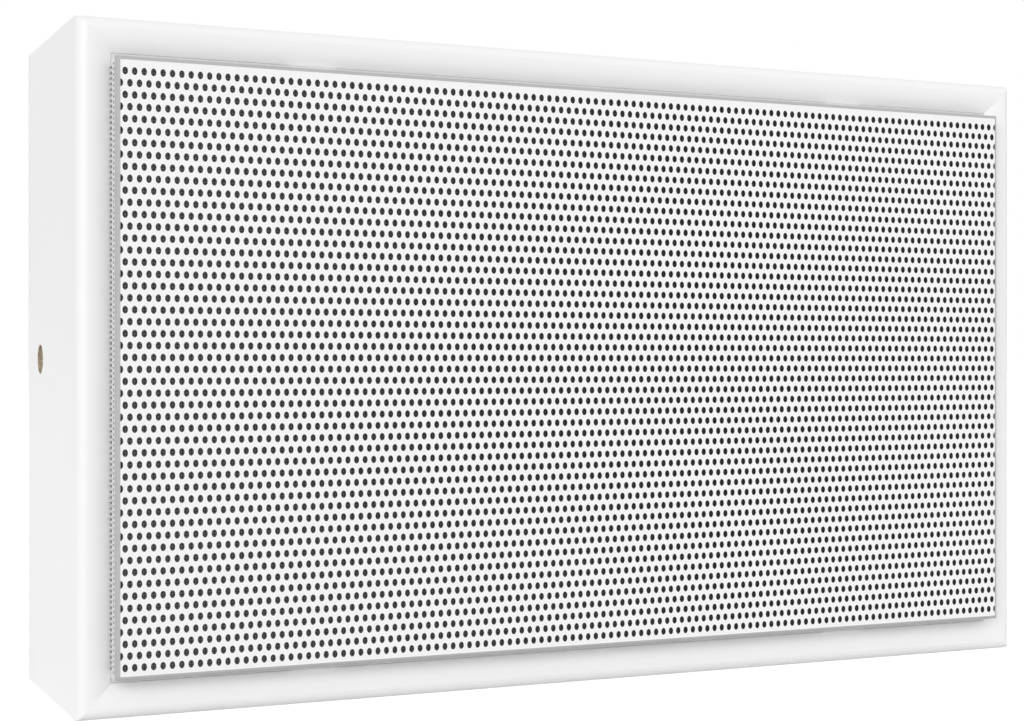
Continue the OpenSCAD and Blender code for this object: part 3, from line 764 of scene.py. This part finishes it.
def dress(made: bpy.types.Object, material: bpy.types.Material) -> None:
    """Gives every face of an object one material."""
    made.data.materials.clear()
    made.data.materials.append(material)
    made.data.polygons.foreach_set("material_index", [0] * len(made.data.polygons))


def crease(made: bpy.types.Object, angle: float) -> None:
    """Smooth shading, with sharp edges where faces meet at more than an angle in degrees."""
    made.data.shade_smooth()
    made.data.set_sharp_from_angle(angle=math.radians(angle))


@dataclass
class Grille:
    """The folded grille: a finely perforated face, its folds and its pierced flanges.

    Attributes:
        finish: the face's powder coat.
        fold_shade_finish: makes the folds' powder coat, grey with painted shade, for the plane of
            the front.
        sheet: thickness of the perforated face.
        fold: outer radius of the folds.
        flare: how much further a hole reaches on the face's back.
        fold_sheet: thickness of the folds and flanges.
        fold_steps: number of flats in each fold.
        splay: how far the flanges spring outwards of the folds.
        columns: whole pitches of holes across the flat face.
        rows: number of rows of holes.
        top_row: height of the top row of holes.
        row_pitch: distance from row to row.
        hole: half the width and height of a hole.
        hole_sides: number of sides of a hole.
        split: number of rows in the upper of the face's two pieces.
        slit: half the length along the flange, and half the depth, of a flange's hole.
        slit_pitch: distance between a flange's holes.
        slit_start: depth behind the face at which the first row of cells begins.
        slit_row: distance from row to row in a flange.
        slit_count: number of rows of holes in a flange.
        slit_sides: number of sides of a flange's hole.
    """

    finish: Finish
    fold_shade_finish: Callable[[float], Finish]
    sheet: float = 0.45 * MM
    fold: float = 0.8 * MM
    flare: float = 0.35 * MM
    fold_sheet: float = 0.28 * MM
    fold_steps: int = 5
    splay: float = 0.24 * MM
    columns: float = 113.5
    rows: int = 51
    top_row: float = 79.76 * MM
    row_pitch: float = 3.2048 * MM
    hole: Flat = (0.765 * MM, 1.06 * MM)
    hole_sides: int = 12
    split: int = 25
    slit: Flat = (0.46 * MM, 0.92 * MM)
    slit_pitch: float = 1.49 * MM
    slit_start: float = 2.5 * MM
    slit_row: float = 2.65 * MM
    slit_count: int = 3
    slit_sides: int = 8
    # share of a side's half length from which a point lies on the mitre
    MITRE = 0.9999

    def __post_init__(self) -> None:
        """Reads the grille's outside from its CAD node."""
        low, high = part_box("grille")
        self.front, self.foot = low.y, high.y
        self.half_w, self.half_h = high.x - self.fold, high.z - self.fold

    def build(self) -> list[bpy.types.Object]:
        """Makes the grille's three pieces.

        Returns:
            The face's upper and lower piece, and the ring of folds and flanges.
        """
        coat = self.finish.material()
        # the folds and flanges get a powder coat with painted shade
        fold_coat = self.fold_shade_finish(self.front).material()
        made = [
            self.face("grille_face_upper", 0, self.split),
            self.face("grille_face_lower", self.split, self.rows),
            self.flanges(),
        ]
        for part, material in zip(made, (coat, coat, fold_coat)):
            dress(part, material)
            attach(part, BODY)
            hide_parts("grille")
        return made

    def face(self, name: str, first: int, last: int) -> bpy.types.Object:
        """The flat face between two rows of holes.

        Args:
            name: the piece's name.
            first: number of the first row, from the top.
            last: number of the row after the last one.

        Returns:
            The piece.
        """
        pitch = 2 * self.half_w / self.columns
        half = (pitch / 2, self.row_pitch / 2)
        grid = [-self.half_w + k * pitch / 2 for k in range(round(2 * self.columns) + 1)]

        def lay(flat: Flat) -> tuple[Point, Point]:
            """A point of the face, on the front and on the back."""
            return (flat[0], self.front, flat[1]), (flat[0], self.front + self.sheet, flat[1])

        sheet = Sheet(lay)
        for row in range(first, last):
            height = self.top_row - row * self.row_pitch
            shifted = row % 2
            cells = [(grid[2 * column + 1 + shifted], 0) for column in range(int(self.columns))]
            cells.append((grid[0], 1) if shifted else (grid[-1], -1))
            for middle, part in cells:
                sheet.pierced((middle, height), half, self.hole, self.hole_sides, self.flare, part)
        if first == 0:
            sheet.plain(grid, self.top_row + half[1], self.half_h)
        if last == self.rows:
            bottom = self.top_row - (self.rows - 0.5) * self.row_pitch
            sheet.plain(grid, -self.half_h, bottom)
        return sheet.solid(name)

    def flanges(self) -> bpy.types.Object:
        """The folds round the face and the four flanges behind them, mitred at the corners."""
        bend = self.fold * math.pi / 2
        deep = bend + (self.foot - self.front) - self.fold
        sheet = Sheet()
        for x, z in ((1, 0), (-1, 0), (0, 1), (0, -1)):
            reach, half_length = (self.half_w, self.half_h) if x else (self.half_h, self.half_w)
            sheet.lay = self.fold_layer(Vector((x, 0, z)), reach, half_length)
            count = round(2 * half_length / self.slit_pitch)
            half = half_length / count
            grid = [-half_length + k * half for k in range(2 * count + 1)]
            levels = [bend * k / self.fold_steps for k in range(self.fold_steps + 1)]
            start = bend - self.fold + self.slit_start
            for low, high in zip([*levels, start], [*levels[1:], start]):
                if high > low:
                    sheet.plain(grid, low, high)
            for row in range(self.slit_count):
                level = start + (row + 0.5) * self.slit_row
                cell = (half, self.slit_row / 2)
                for column in range(count - row % 2):
                    middle = grid[2 * column + 1 + row % 2]
                    sheet.pierced((middle, level), cell, self.slit, self.slit_sides, 0.0)
                for ends in (grid[:2], grid[-2:]) if row % 2 else ():
                    sheet.plain(ends, level - cell[1], level + cell[1])
            sheet.plain(grid, start + self.slit_count * self.slit_row, deep)
        made = sheet.solid("grille_flanges")
        crease(made, 35)
        return made

    def fold_layer(self, outward: Vector, reach: float, half_length: float) -> Layer:
        """How one side's flat strip lies round the fold and down the flange.

        Args:
            outward: direction that the flange faces.
            reach: distance from the middle to the fold's start.
            half_length: half the length of the flat face's side.

        Returns:
            A function from (place along the side, distance over the fold) to two points.
        """
        along = Vector((0, 1, 0)).cross(outward)
        bend = self.fold * math.pi / 2
        inner_r = self.fold - self.fold_sheet

        def lay(flat: Flat) -> tuple[Point, Point]:
            """A point of the fold or flange, on the outer and on the inner side."""
            turn = min(flat[1] / self.fold, math.pi / 2)
            past = max(flat[1] - bend, 0.0)
            points = []
            for radius in (self.fold, inner_r):
                out = radius * math.sin(turn) + self.splay * 2 * turn / math.pi
                depth = self.fold - radius * math.cos(turn) + past
                share = flat[0] / half_length
                slide = flat[0] + (math.copysign(out, share) if abs(share) > self.MITRE else 0.0)
                place = outward * (reach + out) + along * slide
                points.append((place.x, self.front + depth, place.z))
            return points[0], points[1]

        return lay


@dataclass
class GrilleCloth:
    """The black cloth stretched behind the grille.

    Attributes:
        finish: the cloth's weave.
        thickness: thickness of the cloth.
        cells: number of cells across and up.
        hollow: how far the cloth sinks back between the grille's sides.
        forward: how far it stands ahead of its CAD node, against the thinner sheet.
        ripple: how much of the hollow is rippled.
        ripples: turns of the ripples across and up, of two waves that are multiplied.
    """

    finish: Finish
    thickness: float = 0.45 * MM
    cells: tuple[int, int] = (72, 42)
    hollow: float = 0.3 * MM
    forward: float = 0.25 * MM
    ripple: float = 0.3
    ripples: tuple[Flat, Flat] = ((9.1, 4.3), (3.7, -7.9))

    def build(self) -> bpy.types.Object:
        low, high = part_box("grille_cloth")
        wide, tall = high.x - low.x, high.z - low.z
        across, up = self.cells

        def sink(s: float, t: float) -> float:
            """How far the cloth's face stands behind the grille at a share of its size."""
            first, second = (math.sin(across * s + up * t) for across, up in self.ripples)
            level = 1.0 - self.ripple + self.ripple * first * second
            return self.hollow * math.sin(math.pi * s) * math.sin(math.pi * t) * level

        sheet = Sheet()
        sheet.outer = [
            (low.x + s * wide, low.y - self.forward + sink(s, t), low.z + t * tall)
            for t in (row / up for row in range(up + 1))
            for s in (column / across for column in range(across + 1))
        ]
        sheet.inner = [(x, y + self.thickness, z) for x, y, z in sheet.outer]
        stride = across + 1
        sheet.faces = [
            (at, at + 1, at + 1 + stride, at + stride)
            for row in range(up)
            for at in range(row * stride, row * stride + across)
        ]
        made = sheet.solid("speaker_cloth")
        crease(made, 40)
        dress(made, self.finish.material())
        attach(made, BODY)
        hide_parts("grille_cloth")
        return made


@dataclass
class GapStrips:
    """Pale foam strips in the gap above and below the grille, on the baffle's face.

    Attributes:
        finish: the strips' foam.
        spans: where along X each strip lies, clear of the spring clips.
        front_y: plane of the strips' front.
        back_y: plane of the baffle's face.
        gap: lowest and highest place of the gap from the middle.
        edge: radius of the front edges.
        steps: number of flats in each front edge.
        cuts: number of lengths that each strip is cut into.
        wedge_spans: where along X a wedge lies between a spring clip and the wall.
        wedge: the wedges' outline in Y and in distance from the middle.
    """

    finish: Finish
    spans: tuple[Flat, ...] = (
        (-146.9 * MM, -97.0 * MM),
        (-82.4 * MM, 82.4 * MM),
        (97.0 * MM, 146.9 * MM),
    )
    front_y: float = -72.8 * MM
    back_y: float = -65.02 * MM
    gap: Flat = (83.9 * MM, 85.48 * MM)
    edge: float = 0.2 * MM
    steps: int = 4
    cuts: int = 24
    wedge_spans: tuple[Flat, ...] = (
        (-96.95 * MM, -82.45 * MM),
        (82.45 * MM, 96.95 * MM),
    )
    wedge: tuple[Flat, ...] = (
        (-70.4 * MM, 85.48 * MM),
        (-72.8 * MM, 84.75 * MM),
        (-72.8 * MM, 85.48 * MM),
    )

    def section(self) -> list[Flat]:
        """The strip's outline in Y and in distance from the middle."""
        low, high = self.gap
        outline = [(self.back_y, high), (self.back_y, low)]
        for middle, start in ((low + self.edge, -90.0), (high - self.edge, -180.0)):
            for step in range(self.steps + 1):
                turn = math.radians(start - 90.0 * step / self.steps)
                depth = self.front_y + self.edge + self.edge * math.cos(turn)
                outline.append((depth, middle + self.edge * math.sin(turn)))
        return outline

    def build(self) -> None:
        """Makes the strips and wedges above and below the grille."""
        material = self.finish.material()
        lengths = [(span, self.section()) for span in self.spans]
        lengths += [(span, self.wedge) for span in self.wedge_spans]
        for side, place in ((1, "upper"), (-1, "lower")):
            for number, ((start, end), outline) in enumerate(lengths, 1):
                count = len(outline)
                points = [
                    (start + (end - start) * cut / self.cuts, y, side * z)
                    for cut in range(self.cuts + 1)
                    for y, z in outline
                ]
                rings = [range(at, at + count) for at in range(0, len(points), count)]
                faces = [*belts(rings), tuple(reversed(rings[0])), tuple(rings[-1])]
                if side > 0:
                    faces = [tuple(reversed(face)) for face in faces]
                made = piece(f"gap_strip_{place}_{number}", points, faces)
                crease(made, 50)
                dress(made, material)
                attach(made, BODY)


@dataclass
class CrossScrews:
    """Countersunk screws with cross recesses, one for each plain screw of a CAD node.

    Attributes:
        node: the CAD node of the screws, whose heads face +Y.
        finish: the screws' plating.
        sides: number of sides of a screw.
        shank: radius of the shank as a share of the head's.
        cone: height of the head's cone as a share of its radius.
        arm: reach of the cross and half its width, as shares of the head's radius.
        sunk: depth of the cross as a share of the head's radius.
        narrow: size of the cross's floor as a share of its mouth.
        tip: radius of the tip as a share of the shank's, and its length as one of the head's.
        bevel: radius of the head's face and depth of its bevel as shares of the head's radius.
        turned: degrees by which each cross is turned on from the one before.
        apart: distance across the axis that vertices of one screw never reach.
    """

    node: str
    finish: bpy.types.Material
    sides: int = 32
    shank: float = 0.5
    cone: float = 0.52
    arm: Flat = (0.6, 0.13)
    sunk: float = 0.4
    narrow: float = 0.45
    tip: Flat = (0.12, 1.6)
    bevel: Flat = (0.97, 0.08)
    turned: float = 37.0
    apart: float = 12.0 * MM

    def places(self) -> list[list[Vector]]:
        """Lowest and highest corner of each separate screw of the node."""
        screws: list[list[Vector]] = []
        for vertex in frame["nodes"][self.node].data.vertices:
            near = (one for one in screws if (one[0].xz - vertex.co.xz).length < self.apart)
            own = next(near, None)
            if own:
                own.append(vertex.co)
            else:
                screws.append([vertex.co])
        boxes = [
            [Vector(pick(spot[k] for spot in screw) for k in range(3)) for pick in (min, max)]
            for screw in screws
        ]
        return sorted(boxes, key=lambda box: (round(box[0].x, 4), round(box[0].z, 4)))

    def cross(self, size: float) -> list[Flat]:
        """Angle and distance from the middle of each corner of a cross, by rising angle."""
        reach, half = (share * size for share in self.arm)
        return [
            (math.atan2(across, out) + quarter * math.pi / 2, math.hypot(out, across))
            for quarter in range(4)
            for out, across in ((reach, -half), (reach, half), (half, half))
        ]

    def build(self) -> None:
        """Makes the node's screws as one piece."""
        points: list[Point] = []
        faces: list[tuple[int, ...]] = []
        for number, (low, high) in enumerate(self.places()):
            self.screw(points, faces, low, high, math.radians(self.turned * number))
        made = piece(f"{self.node}_crossed", points, faces)
        crease(made, 35)
        dress(made, self.finish)
        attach(made, BODY)
        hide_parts(self.node)

    def screw(
        self, points: list[Point], faces: list[Any], low: Vector, high: Vector, turned: float
    ) -> None:
        """Adds one screw to the lists of points and faces.

        Args:
            points: the points so far.
            faces: the faces so far.
            low: lowest corner of the screw.
            high: highest corner, on the plane of its head.
            turned: angle that its cross is turned by.
        """
        radius = (high.x - low.x) / 2
        middle = (high + low) / 2

        def ring(spots: Iterable[Flat], y: float, turned: float = 0.0) -> list[int]:
            """Adds a ring of points, each at an angle and a distance from the screw's axis."""
            first = len(points)
            for angle, away in spots:
                x, z = away * math.cos(angle + turned), away * math.sin(angle + turned)
                points.append((middle.x + x, y, middle.z + z))
            return list(range(first, len(points)))

        step = 2 * math.pi / self.sides
        thin = self.shank * radius
        levels = (
            (self.tip[0] * thin, low.y),
            (thin, low.y + self.tip[1] * radius),
            (thin, high.y - self.cone * radius),
            (radius, high.y - self.bevel[1] * radius),
            (self.bevel[0] * radius, high.y),
        )
        rings = [ring(((step * k, size) for k in range(self.sides)), y) for size, y in levels]
        corners = self.cross(radius)
        mouth = ring(corners, high.y, turned)
        floor = ring(self.cross(radius * self.narrow), high.y - self.sunk * radius, turned)
        outside = [tuple(reversed(face)) for face in belts(rings) + belts([mouth, floor])]
        faces.extend([*outside, tuple(rings[0]), tuple(reversed(floor))])
        start = math.ceil((corners[0][0] + turned) / step)
        rim = [
            ((start + k) * step - turned, rings[-1][(start + k) % self.sides])
            for k in range(self.sides + 1)
        ]
        around = [(angle, at) for (angle, _), at in zip(corners, mouth)]
        around.append((around[0][0] + 2 * math.pi, around[0][1]))
        faces.extend(tuple(reversed(face)) for face in bridge(rim, around))


@dataclass
class Cabinet:
    """The cabinet's white parts and its raw boards, kept as CAD nodes.

    Attributes:
        white: colour of the lacquer.
        board: the raw board.
    """

    white: Colour
    board: Board

    def finishes(self) -> dict[str, Finish]:
        """The cabinet's finish for each material slot."""
        low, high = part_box("bottom_wall")[0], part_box("top_wall")[1]
        bare = BareParts((high.x - low.x) / 2, (high.z - low.z) / 2)
        lacquer = Lacquer(
            "satin_white_lacquer", self.white, 0.4, 900.0, 0.012 * MM, self.board, bare
        )
        return {"cabinet_white": lacquer, "raw_board": self.board}


@dataclass
class Inside:
    """The driver, transformer, terminals, leads and fleece, kept as CAD nodes."""

    def finishes(self) -> dict[str, Finish]:
        """The finish for each material slot inside the cabinet."""
        inner: tuple[Finish, ...] = (
            Metal("zinc_steel", srgb(196, 198, 200), 0.34, 500.0, patches=0.22),
            Metal("spring_steel", srgb(112, 116, 122), 0.3, 900.0, (0.2, 1.0, 3.0)),
            Metal("brass", srgb(214, 178, 96), 0.3, 800.0),
            Moulding("basket_black", srgb(30, 30, 32), 0.45, 1500.0),
            Moulding("surround_rubber", srgb(26, 26, 27), 0.62, 2200.0),
            Moulding("ferrite", srgb(48, 48, 50), 0.7, 700.0, 0.06 * MM, 0.35),
            Moulding("nylon_white", srgb(226, 224, 214), 0.46, 900.0),
            Moulding("strip_board", srgb(140, 92, 46), 0.55, 1100.0, mottle=0.3),
            Moulding("lead_grey", srgb(120, 122, 124), 0.42, 1600.0),
            Moulding("lead_red", srgb(176, 34, 30), 0.42, 1600.0),
            Paper("cone_paper", srgb(74, 72, 68), srgb(34, 33, 31)),
            Foam("gasket_foam", srgb(58, 58, 60)),
            Weave("spider_cloth", srgb(196, 160, 92), srgb(96, 68, 30), 0.7 * MM),
            Wadding("fleece_white", srgb(232, 232, 228)),
            Stack("copper", srgb(206, 118, 74), srgb(92, 44, 22), Axis.Y, 0.25 * MM, 0.28, 1.0),
            Stack(
                "laminations", srgb(132, 134, 138), srgb(38, 38, 40), Axis.Y, 0.5 * MM, 0.45, 1.0
            ),
            Stack(
                "winding_tape", srgb(224, 190, 60), srgb(150, 118, 30), Axis.X, 6.0 * MM, 0.3, 0.0
            ),
        )
        return {finish.name: finish for finish in inner}


@dataclass(frozen=True)
class Lamp:
    """One broad, distant lamp.

    Attributes:
        name: the lamp's name.
        source: direction from the object to the lamp.
        strength: light on a surface that faces the lamp, in watts to the square metre.
        spread: angle that the lamp covers in the sky, in degrees.
    """

    name: str
    source: Point
    strength: float
    spread: float

    def build(self) -> None:
        """Makes the lamp."""
        data = bpy.data.lights.new(self.name, "SUN")
        data.energy = self.strength
        data.angle = math.radians(self.spread)
        made = bpy.data.objects.new(self.name, data)
        made.rotation_euler = Vector(self.source).to_track_quat("Z", "Y").to_euler()
        bpy.context.scene.collection.objects.link(made)


@dataclass
class Studio:
    """The camera, the lamps, the white surroundings and the pale floor.

    Attributes:
        camera_place: the camera's place.
        heading: angle from +Y towards +X that the level camera looks along, in degrees.
        lens: the camera's focal length in millimetres.
        sensor: width of the camera's sensor in millimetres.
        surround: strength of the surroundings' light on the object.
        floor_white: strength with which the floor shows its own white.
        floor_size: length of the floor's sides.
        floor_tones: the floor's darkest and lightest grey.
        lamps: the lamps.
    """

    camera_place: Point = (-0.252907, -0.570537, 0.001372)
    heading: float = 24.355
    lens: float = 64.485
    sensor: float = 36.0
    surround: float = 0.66
    floor_white: float = 0.6
    floor_size: float = 40.0
    floor_tones: Flat = (0.80, 0.84)
    lamps: tuple[Lamp, ...] = (
        Lamp("key_lamp", (-0.85, -1.0, 0.4), 1.3, 50.0),
        Lamp("fill_lamp", (0.6, -1.0, 0.2), 0.35, 70.0),
    )

    def build(self) -> None:
        """Makes everything that isn't the object."""
        scene = bpy.context.scene
        scene.view_settings.view_transform = "Standard"
        self.make_camera(scene)
        self.make_world(scene)
        self.make_floor(scene)
        for lamp in self.lamps:
            lamp.build()

    def make_camera(self, scene: bpy.types.Scene) -> None:
        """The camera at the photograph's viewing angle."""
        data = bpy.data.cameras.new("camera")
        data.lens = self.lens
        data.sensor_width = self.sensor
        camera = bpy.data.objects.new("camera", data)
        camera.location = self.camera_place
        camera.rotation_euler = (math.pi / 2, 0.0, -math.radians(self.heading))
        scene.collection.objects.link(camera)
        scene.camera = camera

    @staticmethod
    def seen(graph: Graph) -> Wire:
        """1 for rays from the camera and for mirrored or refracted ones, else 0."""
        rays = [
            graph.node("ShaderNodeLightPath", output=name)
            for name in ("Is Camera Ray", "Is Glossy Ray", "Is Transmission Ray")
        ]
        return rays[0].larger(rays[1]).larger(rays[2])

    def make_world(self, scene: bpy.types.Scene) -> None:
        """White surroundings, at a plain level for the light that falls on the object."""
        world = bpy.data.worlds.new("white_surroundings")
        scene.world = world
        world.use_nodes = True
        graph = Graph(world.node_tree)
        level = self.surround + (1.0 - self.surround) * self.seen(graph)
        shader = graph.node(
            "ShaderNodeBackground", values={"Color": (1.0, 1.0, 1.0, 1.0), "Strength": level}
        )
        graph.end("ShaderNodeOutputWorld", shader)

    def make_floor(self, scene: bpy.types.Scene) -> None:
        """The floor under the cabinet, pale, with the object's shadow on it."""
        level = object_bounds()[0].z
        far = self.floor_size / 2
        corners = ((-far, -far), (far, -far), (far, far), (-far, far))
        floor = piece("floor", [(x, y, level) for x, y in corners], [(0, 1, 2, 3)])
        material = bpy.data.materials.new("pale_floor")
        material.use_nodes = True
        graph = Graph(material.node_tree)
        tone = graph.mix(graph.noise(8.0), *((grey, grey, grey, 1.0) for grey in self.floor_tones))
        matt = graph.node("ShaderNodeBsdfDiffuse", values={"Color": tone})
        glow = graph.node(
            "ShaderNodeEmission", values={"Strength": self.floor_white * self.seen(graph)}
        )
        both = graph.node("ShaderNodeAddShader", values={0: matt, 1: glow})
        graph.end("ShaderNodeOutputMaterial", both)
        dress(floor, material)
        floor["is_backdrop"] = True


def dress_nodes(finishes: dict[str, Finish]) -> dict[str, bpy.types.Material]:
    """Gives every CAD node the finish of its material slot.

    Args:
        finishes: the finish of each slot.

    Returns:
        The material of each slot.
    """
    made = {slot: finish.material() for slot, finish in finishes.items()}
    for entry in frame["record"]["subparts"]:
        slot = SPRAYED.get(entry["node"], entry["material_slot"])
        if slot in made:
            dress(frame["nodes"][entry["node"]], made[slot])
            log.info("%s: %s", entry["node"], slot)
    return made


def main() -> None:
    """Builds the speaker's looks and the studio round it."""
    logging.basicConfig(level=logging.INFO, format="%(name)s: %(message)s")
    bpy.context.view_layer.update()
    white = srgb(244, 244, 244)
    board = Board("raw_board", srgb(208, 194, 166), srgb(160, 144, 118))
    peel = (2600.0, 0.01 * MM)
    powder = Lacquer("grille_powder_coat", white, 0.45, *peel)
    finishes = {**Cabinet(white, board).finishes(), **Inside().finishes()}
    materials = dress_nodes(finishes)
    # the folds' coat is grey with painted shade, and lighter grey on the flanges behind
    grille = Grille(
        powder, lambda front: ShadedFoldCoat("grille_fold_coat", white, 0.5, *peel, front_y=front)
    )
    black, dark = srgb(60, 60, 62), srgb(18, 18, 18)
    # the cloth is painted lighter towards -X: painted light
    weave = Weave("acoustic_cloth", black, dark, 0.8 * MM, painted_light_tint=srgb(122, 122, 124))
    for part in (*grille.build(), GrilleCloth(weave).build()):
        log.info("%s: %d faces", part.name, len(part.data.polygons))
    # the foam's grey, 0.82 of the white, is painted shade of the gap round the grille
    GapStrips(Foam("pale_foam", shade(white, 0.82), 2200.0, 0.85, 0.08 * MM)).build()
    for node in ("back_screws", "keyhole_screws"):
        CrossScrews(node, materials["zinc_steel"]).build()
    Studio().build()


if __name__ == "__main__":
    main()
